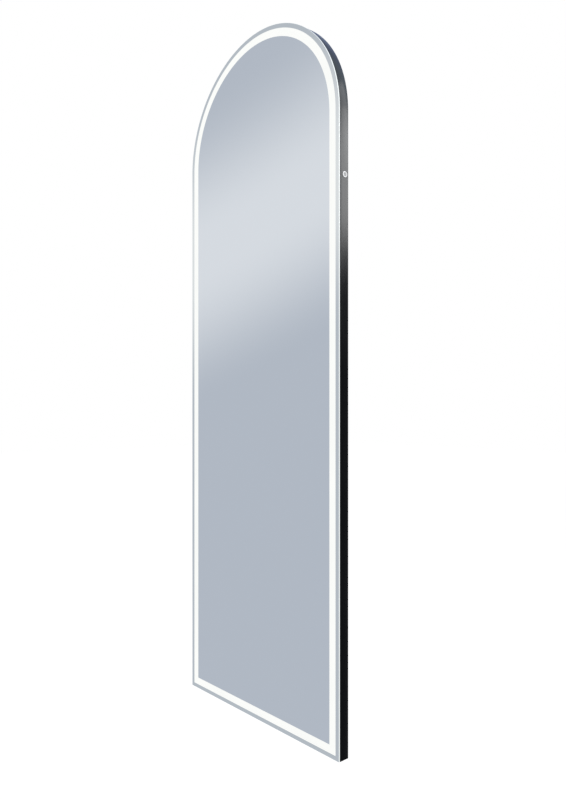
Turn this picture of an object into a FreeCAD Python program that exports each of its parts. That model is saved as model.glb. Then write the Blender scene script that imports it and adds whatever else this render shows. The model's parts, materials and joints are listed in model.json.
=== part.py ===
import FreeCAD, Part
import math
import os

# A full-length wall mirror with an arched top, a frosted light band and a push button on its right side.
# Millimetres. X runs to the right, Y towards the wall, Z up. The wall is the plane Y = 0, and the origin
# is on it, in the middle of the wall rail's screw line.

Vector = FreeCAD.Vector
RIGHT = Vector(1, 0, 0)
BACK = Vector(0, 1, 0)
UP = Vector(0, 0, 1)

# Overall size
mirror_width = 600.0
mirror_height = 1830.0
button_below_springing = 152.0  # centre of the side button below the start of the arch
rail_above_button = 93.0        # wall rail's screw line above the button
wall_gap = 2.0                  # between the wall and the frame's rear edge
drop_in_gap = 0.3               # round a piece that drops into another
screw_gap = 0.05                # round a screw, rivet or set screw in its hole
arc_share = 0.45                # of a lead's shorter run, taken up by the arc beside it
touch = 1e-4                    # points closer than this are the same

# Glass
glass_thickness = 3.0
glass_arris = 0.3               # polished bevel of the glass's edges
frost_inset = 11.0              # silvered rim outside the frosted band
frost_width = 20.0
frost_depth = 0.2               # blasted into the back of the glass
tape_thickness = 0.8
tape_setback = 0.8              # bonding tape in from the frame's outer face
tape_margin = 0.5               # bonding tape in from the seat's inner edge

# Frame section
frame_depth = 28.0              # from the glass's seat to the rear edge
frame_wall = 1.6
panel_seat_width = 12.0         # rear flange, which the back panel is screwed to
panel_recess = 2.0              # back panel's rear face in from the frame's rear edge
edge_break = 0.4
lip_width = 0.6                 # lip in front of the seat, which hides the bonding tape's edge
lip_gap = 0.1                   # between the lip and the glass
lip_break = 0.2

# Corner keys
key_leg = 40.0
key_thickness = 4.0
key_gap = 0.1                   # between a key and the frame's walls
set_screw_radius = 2.0
set_screw_margin = 10.0         # from each end of a leg

# Light behind the frosted band
diffuser_thickness = 2.0
diffuser_overlap = 1.0          # past each edge of the frosted band
seat_clearance = 1.0            # between the diffuser and the frame's front flange
channel_inset = 1.5             # channel's sides in from the frosted band's edges
channel_wall = 1.2
lead_space = 8.8                # behind the channel, for leads and brackets
led_tape_width = 10.0
led_tape_thickness = 0.4
led_line_width = 3.0
led_line_thickness = 0.8
connector_length = 16.0
connector_height = 3.0
connector_gap = 0.2             # between the connector and the ends of the light tape
bracket_clearance = 1.0         # between a bracket and the frame's rear flange
bracket_width = 14.0
bracket_length = 20.0
bracket_thickness = 1.2
bracket_margin = 120.0          # outer brackets in from the ends of a straight side
side_bracket_count = 4
arch_bracket_count = 3
bottom_bracket_count = 2

# Back panel
panel_thickness = 1.0
panel_screw_margin = 60.0       # outer screws in from the ends of a straight side
side_screw_count = 6
arch_screw_count = 5
bottom_screw_count = 3
vent_count = 7
vent_pitch = 26.0
vent_length = 40.0
vent_width = 5.0
vent_from_bottom = 150.0
vent_above_springing = 150.0
bumper_radius = 8.0
bumper_margin = 70.0            # bumper centres in from the frame's outer face
bumper_angle = 50.0             # of the two upper bumpers on the arch, from the horizontal

# Pan head screws and blind rivets
screw_radius = 1.5
screw_length = 7.0
screw_head_radius = 2.9
screw_head_height = 1.4
screw_head_round = 0.7
screw_recess_width = 0.8
screw_recess_depth = 0.8
rivet_radius = 1.6
rivet_head_radius = 3.2
rivet_head_height = 1.1
rivet_head_round = 0.9
rivet_tail_radius = 2.1
rivet_tail_length = 2.0

# Hanging rails: the mirror's rail hooks over the wall's rail
rail_side_gap = 90.0            # rail ends in from the frame's outer face
rail_thickness = 2.5
rail_base = 32.0                # height of the flat part of each rail
rail_lip = 14.0                 # height that the lips overlap by, with the clearance below them
rail_slack = 0.6                # between the two lips
lip_clearance = 1.0             # below the mirror rail's lip
lift_travel = 16.0              # the mirror is raised this far to come off
wall_hole_radius = 2.75
wall_hole_spacing = 200.0
wall_slot_margin = 30.0         # slot centres in from the rail's ends
wall_slot_length = 14.0
rail_rivet_count = 6
rail_rivet_margin = 20.0

# Pressed tray in the back panel, which the rails sit in
tray_depth = 6.0
tray_wall = 1.2
tray_flange = 12.0
tray_end_gap = 12.0             # beyond each end of the rails
tray_top_gap = 5.0              # above the mirror rail
tray_low_gap = 5.0              # below the wall rail with the mirror lifted
tray_rivet_columns = 5

# Cross braces on the back panel
brace_height = 10.0
brace_top_width = 22.0
brace_foot = 12.0
brace_thickness = 1.0
brace_side_gap = 45.0           # brace ends in from the frame's outer face
upper_brace_drop = 370.0        # below the middle of the power unit
lower_brace_height = 480.0      # above the bottom edge
brace_rivet_count = 4
brace_rivet_margin = 30.0

# Power unit
electrics_gap = 20.0            # below the tray's flange
driver_length = 180.0
driver_width = 44.0
driver_height = 17.0
driver_wall = 1.8
driver_side_gap = 80.0          # power unit in from the frame's outer face
driver_ear = 8.0
driver_ear_length = 14.0
driver_ear_thickness = 4.0
driver_ear_inset = 30.0         # ear centres in from the power unit's ends
driver_screw_length = 4.5
board_thickness = 1.6
board_post_height = 2.2
board_post_radius = 3.0
board_side_gap = 0.6
board_end_gap = 9.0
lid_rim = 1.6
component_gap = 2.0             # between the components and the lid
component_margin = 16.0         # outer components in from the board's ends
filter_length = 16.0
filter_width = 15.0
transformer_length = 25.0
transformer_width = 23.0
heat_sink_length = 4.0
heat_sink_width = 24.0
capacitor_radius = 5.0
capacitor_spread = 8.0          # of the two capacitors from the board's middle

# Connection box for the supply cord, with its cover on the back panel
box_spacing = 60.0              # between the power unit and the box
box_length = 116.0              # inside
box_width = 60.0                # inside
box_depth = 15.0                # inside
box_wall = 2.0
box_flange = 8.0
cover_thickness = 1.2
cover_margin = 9.0              # past the box's mouth
cover_screw_offset = 4.5        # from the box's mouth
cover_screw_length = 6.0
grommet_radius = 9.0
grommet_hole_radius = 6.5
grommet_bore_radius = 4.0
grommet_lip = 1.4
grommet_from_middle = 40.0
terminal_length = 34.0
terminal_width = 18.0
terminal_height = 11.0
terminal_from_middle = -34.0
terminal_pitch = 11.0
terminal_row_offset = 5.0       # of each row of screws from the block's middle
terminal_port_radius = 1.8
terminal_screw_radius = 2.0
terminal_screw_height = 2.0
terminal_screw_depth = 4.0      # of the wells that the screws stand in
clamp_from_middle = 6.0
clamp_post_spacing = 26.0
clamp_post_radius = 3.5
clamp_post_height = 6.0
clamp_thickness = 3.5
clamp_width = 9.0
clamp_corner = 2.0
clamp_screw_length = 8.0

# Heating film on the back of the glass
pad_side_gap = 90.0             # film's sides in from the glass's edge
pad_height = 700.0
pad_thickness = 0.5
pad_terminal_length = 24.0
pad_terminal_width = 16.0
pad_terminal_height = 6.0
pad_terminal_drop = 110.0       # terminal's top below the connection box
pad_terminal_edge = 12.0        # terminal's top below the film's top edge

# Leads
led_lead_radius = 1.25
button_lead_radius = 1.0
mains_link_radius = 3.0
demister_lead_radius = 2.0
lead_hole_gap = 0.2
lead_in = 4.0                   # length of a lead inside the case that it enters
lead_spread = 8.0               # of the two leads at the power unit from its middle
clip_wall = 1.5
clip_length = 8.0
clip_gap = 12.0                 # between a clip and the case beside it

# Push button on the right side wall. Depths run inwards from the frame's outer face.
ring_overlap = 1.0              # light ring's edge past its neck
ring_thickness = 1.2
gasket_thickness = 0.4
gasket_margin = 0.2             # gasket's edge in from the light ring's edge
neck_wall = 0.65                # thinnest wall of the neck
neck_hole_gap = 0.2
cap_radius = 4.8
cap_gap = 0.15
cap_proud = 0.2                 # cap's face above the light ring
cap_lip = 0.4                   # cap's lip, which holds it in, past its side
cap_lip_depth = 1.0             # where the lip meets its shoulder
cap_lip_thickness = 1.0
cap_dish_depth = 0.2
cap_dish_radius = 2.3
stem_radius = 2.0
stem_length = 1.2
button_travel = 1.2
switch_gap = 0.1                # left between stem and switch at full travel
switch_plunger_radius = 1.2
switch_plunger_length = 0.8
switch_size = 4.0
switch_height = 1.7
button_board_thickness = 1.0
board_gap = 0.1
spring_wire_radius = 0.3
spring_wall_gap = 0.9           # between the spring and the neck
spring_turns = 3
spring_end_gap = 0.05
nut_width = 1.4                 # from the nut's thread to its edge
nut_thickness = 2.5
nut_gap = 0.1
nut_notch = 1.6
nut_clearance = 0.5             # between the nut and the frame's rear flange
button_lead_offset = 3.9        # lead's place on the button's board, behind its middle

# Places that follow from the sizes above
half_width = mirror_width / 2
button_z = -rail_above_button
springing_z = button_z + button_below_springing
bottom_z = springing_z - (mirror_height - half_width)
frame_rear_y = -wall_gap
frame_front_y = frame_rear_y - frame_depth
glass_back_y = frame_front_y - tape_thickness
glass_front_y = glass_back_y - glass_thickness
lip_front_y = glass_back_y + lip_gap
panel_rear_y = frame_rear_y - panel_recess
panel_front_y = panel_rear_y - panel_thickness
panel_seat_y = panel_front_y - frame_wall
frost_end = frost_inset + frost_width
frost_middle = frost_inset + frost_width / 2
seat_width = frost_inset - diffuser_overlap - seat_clearance
diffuser_back_y = glass_back_y + diffuser_thickness
channel_rear_y = panel_front_y - lead_space
channel_floor_y = channel_rear_y - channel_wall
channel_outer = frost_inset + channel_inset
channel_inner = frost_end - channel_inset
panel_screw_inset = (frame_wall + panel_seat_width) / 2
screw_hole_radius = screw_radius + screw_gap
rivet_hole_radius = rivet_radius + screw_gap

rail_length = mirror_width - 2 * rail_side_gap
wall_slot_spacing = rail_length - 2 * wall_slot_margin
tray_floor_y = panel_front_y - tray_depth
lip_middle_y = tray_floor_y / 2
wall_lip_top_z = rail_base / 2 + rail_lip
mirror_rail_top_z = wall_lip_top_z + rail_base
tray_half = rail_length / 2 + tray_end_gap
tray_low_z = -rail_base / 2 - lift_travel - tray_low_gap
tray_top_z = mirror_rail_top_z + tray_top_gap
tray_rim = tray_wall + tray_flange
rail_rivet_z = wall_lip_top_z + rail_base / 2

electrics_z = tray_low_z - tray_rim - electrics_gap - driver_width / 2 - driver_ear
driver_right = half_width - driver_side_gap
driver_left = driver_right - driver_length
driver_lid_y = panel_front_y - driver_height
board_rear_y = panel_front_y - driver_wall - board_post_height
board_front_y = board_rear_y - board_thickness
component_front_y = driver_lid_y + driver_wall + component_gap
board_left = driver_left + driver_wall + board_end_gap
board_right = driver_right - driver_wall - board_end_gap
upper_brace_z = electrics_z - upper_brace_drop
lower_brace_z = bottom_z + lower_brace_height
box_right = driver_left - box_spacing - box_wall
box_left = box_right - box_length
box_middle = (box_left + box_right) / 2
box_low_z = electrics_z - box_width / 2
box_floor_y = panel_front_y - box_depth
cover_rear_y = panel_rear_y + cover_thickness

pad_rear_y = glass_back_y + pad_thickness
pad_terminal_x = box_middle + terminal_from_middle
pad_terminal_top_z = box_low_z - box_wall - pad_terminal_drop
pad_top_z = pad_terminal_top_z + pad_terminal_edge

cap_bore = cap_radius + cap_gap
lip_bore = cap_bore + cap_lip
neck_radius = lip_bore + neck_wall
ring_radius = neck_radius + ring_overlap
nut_bore = neck_radius + nut_gap
nut_radius = nut_bore + nut_width
spring_radius = lip_bore - spring_wall_gap - spring_wire_radius
button_y = panel_seat_y - nut_radius - nut_clearance
button_lead_y = button_y + button_lead_offset
ring_face = -gasket_thickness - ring_thickness
cap_back = cap_lip_depth + cap_lip_thickness
stem_end = cap_back + stem_length
plunger_top = stem_end + button_travel + switch_gap
switch_top = plunger_top + switch_plunger_length
button_board_face = switch_top + switch_height
neck_depth = button_board_face + button_board_thickness
led_lead_x = half_width - frost_middle
led_lead_y = panel_front_y - lead_space / 2
led_lead_z = electrics_z - lead_spread
button_lead_z = electrics_z + lead_spread
mains_link_y = panel_front_y - box_depth / 2
demister_lead_y = panel_front_y - box_depth / 2
pad_lead_y = pad_rear_y + pad_terminal_height / 2


def block(x_low, x_high, y_low, y_high, z_low, z_high):
    corner = Vector(x_low, y_low, z_low)
    return Part.makeBox(x_high - x_low, y_high - y_low, z_high - z_low, corner)


def rod(radius, start, direction, length):
    return Part.makeCylinder(radius, length, start, direction)


def fused(shapes):
    return shapes[0].fuse(shapes[1:]).removeSplitter()


def moved(shape, x, y, z):
    copy = shape.copy()
    copy.translate(Vector(x, y, z))
    return copy


def outline_face(inset, y):
    """The mirror's outline drawn in by a distance: a flat bottom, straight sides and a half-round top."""
    side = half_width - inset
    low = bottom_z + inset
    low_left = Vector(-side, y, low)
    low_right = Vector(side, y, low)
    right = Vector(side, y, springing_z)
    left = Vector(-side, y, springing_z)
    top = Vector(0, y, springing_z + side)
    edges = [
        Part.LineSegment(low_left, low_right).toShape(),
        Part.LineSegment(low_right, right).toShape(),
        Part.Arc(right, top, left).toShape(),
        Part.LineSegment(left, low_left).toShape(),
    ]
    return Part.Face(Part.Wire(edges))


def outline_plate(inset, y_front, y_rear):
    return outline_face(inset, y_front).extrude(Vector(0, y_rear - y_front, 0))


def outline_ring(outer, inner, y_front, y_rear):
    return outline_plate(outer, y_front, y_rear).cut(outline_plate(inner, y_front, y_rear))


def inset_of(point):
    """How far a point lies inside the mirror's outline."""
    if point.z > springing_z:
        return half_width - math.hypot(point.x, point.z - springing_z)
    return min(half_width - abs(point.x), point.z - bottom_z)


def outer_edges(shape, y):
    """The edges of a shape that follow the mirror's outline at one depth."""
    found = []
    for edge in shape.Edges:
        points = edge.discretize(5)
        if all(abs(point.y - y) < touch and abs(inset_of(point)) < touch for point in points):
            found.append(edge)
    return found


def along_outline(inset, margin, side_count, arch_count, bottom_count):
    """Places along the outline, drawn in by a distance: x, z and the angle of the outward normal."""
    places = []
    low = bottom_z + margin
    step = (springing_z - margin - low) / (side_count - 1)
    for index in range(side_count):
        places.append((half_width - inset, low + index * step, 0.0))
        places.append((inset - half_width, low + index * step, 180.0))
    for index in range(arch_count):
        angle = 180.0 * (index + 1) / (arch_count + 1)
        reach = half_width - inset
        x = reach * math.cos(math.radians(angle))
        z = springing_z + reach * math.sin(math.radians(angle))
        places.append((x, z, angle))
    spread = mirror_width - 2 * margin
    for index in range(bottom_count):
        x = -half_width + margin + spread * index / (bottom_count - 1)
        places.append((x, bottom_z + inset, 270.0))
    return places


def spaced(low, high, count):
    return [low + (high - low) * index / (count - 1) for index in range(count)]


def rounded_end(disc, axis, reach, radius):
    """A disc along one axis with the edge of its far face rounded."""
    rim = [edge for edge in disc.Edges if edge.CenterOfMass.dot(axis) > reach - touch]
    return disc.makeFillet(radius, [edge for edge in rim if edge.Closed])


def pan_screw(length):
    """A pan head screw along Y with its seat at the origin, its head towards the wall."""
    head = rod(screw_head_radius, Vector(), BACK, screw_head_height)
    head = rounded_end(head, BACK, screw_head_height, screw_head_round)
    screw = head.fuse(rod(screw_radius, Vector(), -BACK, length))
    arm = screw_head_radius / 2
    bar = screw_recess_width / 2
    low = screw_head_height - screw_recess_depth
    cross = block(-arm, arm, low, screw_head_height, -bar, bar)
    cross = cross.fuse(block(-bar, bar, low, screw_head_height, -arm, arm))
    return screw.cut(cross)


def blind_rivet(grip):
    """A blind rivet along Y through sheets as thick as its grip, its head towards the wall."""
    head = rod(rivet_head_radius, Vector(), BACK, rivet_head_height)
    head = rounded_end(head, BACK, rivet_head_height, rivet_head_round)
    shank = rod(rivet_radius, Vector(), -BACK, grip)
    tail = rod(rivet_tail_radius, Vector(0, -grip, 0), -BACK, rivet_tail_length)
    return fused([head, shank, tail])


def at_places(shape, places, y):
    return Part.makeCompound([moved(shape, place[0], y, place[1]) for place in places])


def holes_at(places, radius, y_front, y_rear):
    start = [Vector(place[0], y_front, place[1]) for place in places]
    return [rod(radius, point, BACK, y_rear - y_front) for point in start]


def slot(x, z, length, width, upright, y_front, y_rear):
    """A straight slot with round ends, cut along Y."""
    reach = (length - width) / 2
    run = UP * reach if upright else RIGHT * reach
    middle = Vector(x, y_front, z)
    depth = y_rear - y_front
    ends = [rod(width / 2, middle + run, BACK, depth), rod(width / 2, middle - run, BACK, depth)]
    half = width / 2
    if upright:
        body = block(x - half, x + half, y_front, y_rear, z - reach, z + reach)
    else:
        body = block(x - reach, x + reach, y_front, y_rear, z - half, z + half)
    return fused([body] + ends)


def tangent_path(points):
    """Straight runs joined by arcs as large as the runs allow."""
    edges = []
    radii = []
    here = points[0]
    for before, corner, after in zip(points, points[1:], points[2:]):
        way_in = (corner - before).normalize()
        way_out = (after - corner).normalize()
        turn = way_in.getAngle(way_out)
        if turn < touch:
            continue
        reach = arc_share * min((corner - before).Length, (after - corner).Length)
        radius = reach / math.tan(turn / 2)
        start = corner - way_in * reach
        end = corner + way_out * reach
        inward = (way_out - way_in).normalize()
        middle = corner + inward * (radius / math.cos(turn / 2) - radius)
        edges.append(Part.LineSegment(here, start).toShape())
        edges.append(Part.Arc(start, middle, end).toShape())
        radii.append(round(radius, 1))
        here = end
    edges.append(Part.LineSegment(here, points[-1]).toShape())
    return Part.Wire(edges), radii


def lead(name, points, radius):
    path, radii = tangent_path(points)
    circle = Part.makeCircle(radius, points[0], points[1] - points[0])
    shape = path.makePipeShell([Part.Wire(circle)], True, False)
    share = shape.Volume / (math.pi * radius ** 2 * path.Length)
    print(name, "arc radii", radii, "length", round(path.Length, 1), "volume share", round(share, 4))
    return shape


panel_screw_places = along_outline(
    panel_screw_inset, panel_screw_margin, side_screw_count, arch_screw_count, bottom_screw_count
)


def mirror_glass():
    glass = outline_plate(0, glass_front_y, glass_back_y)
    edges = outer_edges(glass, glass_front_y) + outer_edges(glass, glass_back_y)
    glass = glass.makeChamfer(glass_arris, edges)
    frost = outline_ring(frost_inset, frost_end, glass_back_y - frost_depth, glass_back_y)
    return glass.cut(frost)


def glass_tape():
    return outline_ring(tape_setback, seat_width - tape_margin, glass_back_y, frame_front_y)


def frame_ring():
    wall = outline_ring(0, frame_wall, frame_front_y, frame_rear_y)
    lip = outline_ring(0, lip_width, lip_front_y, frame_front_y)
    seat = outline_ring(0, seat_width, frame_front_y, frame_front_y + frame_wall)
    shelf = outline_ring(0, panel_seat_width, panel_seat_y, panel_front_y)
    ring = fused([wall, lip, seat, shelf])
    ring = ring.makeChamfer(edge_break, outer_edges(ring, frame_rear_y))
    ring = ring.makeChamfer(lip_break, outer_edges(ring, lip_front_y))
    holes = holes_at(panel_screw_places, screw_hole_radius, panel_seat_y, panel_front_y)
    holes.append(button_rod(neck_radius + neck_hole_gap, 0, frame_wall))
    return ring.cut(holes)


def mitre_block():
    """The space of the bottom rail, with 45 degree ends."""
    rise = max(seat_width, panel_seat_width)
    low_left = Vector(-half_width, lip_front_y, bottom_z)
    low_right = Vector(half_width, lip_front_y, bottom_z)
    top_right = low_right + Vector(-rise, 0, rise)
    top_left = low_left + Vector(rise, 0, rise)
    face = Part.Face(Part.makePolygon([low_left, low_right, top_right, top_left, low_left]))
    return face.extrude(Vector(0, frame_rear_y - lip_front_y, 0))


def corner_key(side):
    """An angle key behind the front flange of one lower corner: side is 1 at the right, -1 at the left."""
    y_front = frame_front_y + frame_wall + drop_in_gap
    y_rear = panel_seat_y - drop_in_gap
    edge = half_width - frame_wall - key_gap
    low = bottom_z + frame_wall + key_gap
    upright = block(edge - key_thickness, edge, y_front, y_rear, low, low + key_leg)
    flat = block(edge - key_leg, edge, y_front, y_rear, low, low + key_thickness)
    key = fused([upright, flat])
    middle = (y_front + y_rear) / 2
    screws = []
    for place in (key_thickness + set_screw_margin, key_leg - set_screw_margin):
        beside = Vector(edge - key_thickness, middle, low + place)
        below = Vector(edge - place, middle, low + key_thickness)
        key = key.cut([
            rod(set_screw_radius + screw_gap, beside, RIGHT, key_thickness),
            rod(set_screw_radius + screw_gap, below, -UP, key_thickness),
        ])
        screws.append(rod(set_screw_radius, beside, RIGHT, key_thickness + key_gap))
        screws.append(rod(set_screw_radius, below, -UP, key_thickness + key_gap))
    if side > 0:
        return key, screws
    return key.mirror(Vector(), RIGHT), [screw.mirror(Vector(), RIGHT) for screw in screws]


def diffuser():
    outer = frost_inset - diffuser_overlap
    inner = frost_end + diffuser_overlap
    return outline_ring(outer, inner, glass_back_y, diffuser_back_y)


def led_channel():
    outside = outline_ring(channel_outer, channel_inner, diffuser_back_y, channel_rear_y)
    outer = channel_outer + channel_wall
    inner = channel_inner - channel_wall
    inside = outline_ring(outer, inner, diffuser_back_y, channel_floor_y)
    start = Vector(led_lead_x, channel_floor_y, led_lead_z)
    return outside.cut([inside, rod(led_lead_radius + lead_hole_gap, start, BACK, channel_wall)])


def connector_space(length, y_front, y_rear):
    half = led_tape_width / 2
    z_low = led_lead_z - length / 2
    return block(led_lead_x - half, led_lead_x + half, y_front, y_rear, z_low, z_low + length)


def led_strip(width, y_front, y_rear):
    """A strip round the channel's floor with a break at the connector."""
    ring = outline_ring(frost_middle - width / 2, frost_middle + width / 2, y_front, y_rear)
    return ring.cut(connector_space(connector_length + 2 * connector_gap, y_front, y_rear))


def channel_brackets():
    """C-shaped sheet brackets that stand on the back panel under the light channel."""
    start = -(panel_seat_width + bracket_clearance)
    end = start - bracket_width
    half = bracket_length / 2
    foot = block(end, start, panel_front_y - bracket_thickness, panel_front_y, -half, half)
    web = block(start - bracket_thickness, start, channel_rear_y, panel_front_y, -half, half)
    top = block(end, start, channel_rear_y, channel_rear_y + bracket_thickness, -half, half)
    bracket = fused([foot, web, top])
    places = along_outline(0, bracket_margin, side_bracket_count, arch_bracket_count, bottom_bracket_count)
    brackets = []
    for x, z, angle in places:
        copy = bracket.copy()
        copy.rotate(Vector(), BACK, -angle)
        copy.translate(Vector(x, 0, z))
        brackets.append(copy)
    return Part.makeCompound(brackets)


def tray_rivet_places():
    middle = tray_wall + tray_flange / 2
    columns = spaced(-tray_half, tray_half, tray_rivet_columns)
    rows = (tray_low_z - middle, tray_top_z + middle)
    return [(x, z) for z in rows for x in columns]


def brace_rivet_places(middle):
    reach = half_width - brace_side_gap - brace_rivet_margin
    offset = (brace_top_width + brace_foot) / 2
    columns = spaced(-reach, reach, brace_rivet_count)
    return [(x, middle + side * offset) for side in (-1, 1) for x in columns]


def driver_screw_places():
    reach = (driver_width + driver_ear) / 2
    columns = (driver_left + driver_ear_inset, driver_right - driver_ear_inset)
    return [(x, electrics_z + side * reach) for side in (-1, 1) for x in columns]


def cover_screw_places():
    reach_x = box_length / 2 + cover_screw_offset
    reach_z = box_width / 2 + cover_screw_offset
    return [(box_middle + a * reach_x, electrics_z + b * reach_z) for a in (-1, 1) for b in (-1, 1)]


def back_panel():
    panel = outline_plate(frame_wall + drop_in_gap, panel_front_y, panel_rear_y)
    screws = panel_screw_places + driver_screw_places() + cover_screw_places()
    rivets = tray_rivet_places() + brace_rivet_places(upper_brace_z) + brace_rivet_places(lower_brace_z)
    cuts = holes_at(screws, screw_hole_radius, panel_front_y, panel_rear_y)
    cuts += holes_at(rivets, rivet_hole_radius, panel_front_y, panel_rear_y)
    cuts.append(block(-tray_half, tray_half, panel_front_y, panel_rear_y, tray_low_z, tray_top_z))
    box_top_z = box_low_z + box_width
    cuts.append(block(box_left, box_right, panel_front_y, panel_rear_y, box_low_z, box_top_z))
    reach = vent_pitch * (vent_count - 1) / 2
    for z in (bottom_z + vent_from_bottom, springing_z + vent_above_springing):
        for x in spaced(-reach, reach, vent_count):
            cuts.append(slot(x, z, vent_length, vent_width, True, panel_front_y, panel_rear_y))
    return panel.cut(cuts)


def wall_bumpers():
    side = half_width - bumper_margin
    up = side * math.sin(math.radians(bumper_angle))
    across = side * math.cos(math.radians(bumper_angle))
    places = [(across, springing_z + up), (-across, springing_z + up)]
    places += [(side, bottom_z + bumper_margin), (-side, bottom_z + bumper_margin)]
    bumper = rod(bumper_radius, Vector(), BACK, -panel_rear_y)
    bumper = rounded_end(bumper, BACK, -panel_rear_y, edge_break)
    return at_places(bumper, places, panel_rear_y)


def hanging_tray():
    low = tray_low_z
    top = tray_top_z
    front = tray_floor_y - tray_wall
    pocket = block(-tray_half, tray_half, tray_floor_y, panel_front_y, low, top)
    half = tray_half + tray_wall
    walls = block(-half, half, front, panel_front_y, low - tray_wall, top + tray_wall)
    reach = tray_half + tray_rim
    flange_y = panel_front_y - tray_wall
    flange = block(-reach, reach, flange_y, panel_front_y, low - tray_rim, top + tray_rim)
    tray = fused([walls, flange]).cut(pocket)
    cuts = holes_at(tray_rivet_places(), rivet_hole_radius, flange_y, panel_front_y)
    cuts += holes_at(rail_rivet_places(), rivet_hole_radius, front, tray_floor_y)
    return tray.cut(cuts)


def rail_rivet_places():
    reach = rail_length / 2 - rail_rivet_margin
    return [(x, rail_rivet_z) for x in spaced(-reach, reach, rail_rivet_count)]


def mirror_rail():
    """Z section on the tray's floor, its lip hanging down behind the wall rail's lip."""
    half = rail_length / 2
    lip_front = lip_middle_y + rail_slack / 2
    lip_rear = lip_front + rail_thickness
    lip_low = rail_base / 2 + lip_clearance
    under = wall_lip_top_z
    base_rear = tray_floor_y + rail_thickness
    base = block(-half, half, tray_floor_y, base_rear, under, mirror_rail_top_z)
    web = block(-half, half, tray_floor_y, lip_rear, under, under + rail_thickness)
    lip = block(-half, half, lip_front, lip_rear, lip_low, under + rail_thickness)
    rail = fused([base, web, lip])
    return rail.cut(holes_at(rail_rivet_places(), rivet_hole_radius, tray_floor_y, base_rear))


def wall_rail():
    """Z section screwed to the wall, its lip standing up in front."""
    half = rail_length / 2
    lip_rear = lip_middle_y - rail_slack / 2
    lip_front = lip_rear - rail_thickness
    web_top = rail_base / 2
    base = block(-half, half, -rail_thickness, 0, -rail_base / 2, web_top)
    web = block(-half, half, lip_front, 0, web_top - rail_thickness, web_top)
    lip = block(-half, half, lip_front, lip_rear, web_top - rail_thickness, wall_lip_top_z)
    cuts = []
    for side in (-1, 1):
        start = Vector(side * wall_hole_spacing / 2, -rail_thickness, 0)
        cuts.append(rod(wall_hole_radius, start, BACK, rail_thickness))
        x = side * wall_slot_spacing / 2
        cuts.append(slot(x, 0, wall_slot_length, 2 * wall_hole_radius, False, -rail_thickness, 0))
    return fused([base, web, lip]).cut(cuts)


def brace(middle):
    """A hat section across the inside of the back panel, at one height."""
    reach = half_width - brace_side_gap
    half = brace_top_width / 2
    outside = half + brace_foot
    top_y = panel_front_y - brace_height
    foot_y = panel_front_y - brace_thickness
    body = block(-reach, reach, top_y, panel_front_y, middle - half, middle + half)
    feet = block(-reach, reach, foot_y, panel_front_y, middle - outside, middle + outside)
    inside = half - brace_thickness
    hollow = block(
        -reach, reach, top_y + brace_thickness, panel_front_y, middle - inside, middle + inside
    )
    holes = holes_at(brace_rivet_places(middle), rivet_hole_radius, foot_y, panel_front_y)
    return fused([body, feet]).cut([hollow] + holes)


def board_post_places():
    reach = driver_width / 2 - driver_wall - board_side_gap - board_post_radius
    columns = (board_left + board_post_radius, board_right - board_post_radius)
    return [(x, electrics_z + side * reach) for side in (-1, 1) for x in columns]


def driver_case():
    """The power unit's tray on the back panel, with ears, board posts and lead holes, open to the front."""
    low = electrics_z - driver_width / 2
    top = electrics_z + driver_width / 2
    rim_y = driver_lid_y + driver_wall
    floor_y = panel_front_y - driver_wall
    outside = block(driver_left, driver_right, rim_y, panel_front_y, low, top)
    inside = block(
        driver_left + driver_wall, driver_right - driver_wall, rim_y, floor_y,
        low + driver_wall, top - driver_wall,
    )
    case = outside.cut(inside)
    posts = [rod(board_post_radius, Vector(x, floor_y, z), -BACK, board_post_height)
             for x, z in board_post_places()]
    ears = []
    half = driver_ear_length / 2
    ear_y = panel_front_y - driver_ear_thickness
    for x in (driver_left + driver_ear_inset, driver_right - driver_ear_inset):
        ears.append(block(x - half, x + half, ear_y, panel_front_y, top, top + driver_ear))
        ears.append(block(x - half, x + half, ear_y, panel_front_y, low - driver_ear, low))
    case = fused([case] + posts + ears)
    right = driver_right - driver_wall
    cuts = holes_at(driver_screw_places(), screw_hole_radius, ear_y, panel_front_y)
    button_hole = Vector(right, button_lead_y, button_lead_z)
    led_hole = Vector(right, led_lead_y, led_lead_z)
    mains_hole = Vector(driver_left, mains_link_y, electrics_z)
    cuts.append(rod(button_lead_radius + lead_hole_gap, button_hole, RIGHT, driver_wall))
    cuts.append(rod(led_lead_radius + lead_hole_gap, led_hole, RIGHT, driver_wall))
    cuts.append(rod(mains_link_radius + lead_hole_gap, mains_hole, RIGHT, driver_wall))
    return case.cut(cuts)


def driver_lid():
    low = electrics_z - driver_width / 2
    top = electrics_z + driver_width / 2
    rim_y = driver_lid_y + driver_wall
    plate = block(driver_left, driver_right, driver_lid_y, rim_y, low, top)
    step = driver_wall + drop_in_gap
    rim = block(
        driver_left + step, driver_right - step, rim_y, rim_y + lid_rim, low + step, top - step
    )
    step += driver_wall
    hollow = block(
        driver_left + step, driver_right - step, rim_y, rim_y + lid_rim, low + step, top - step
    )
    return fused([plate, rim.cut(hollow)])


def driver_board():
    low = electrics_z - driver_width / 2 + driver_wall + board_side_gap
    top = electrics_z + driver_width / 2 - driver_wall - board_side_gap
    return block(board_left, board_right, board_front_y, board_rear_y, low, top)


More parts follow.
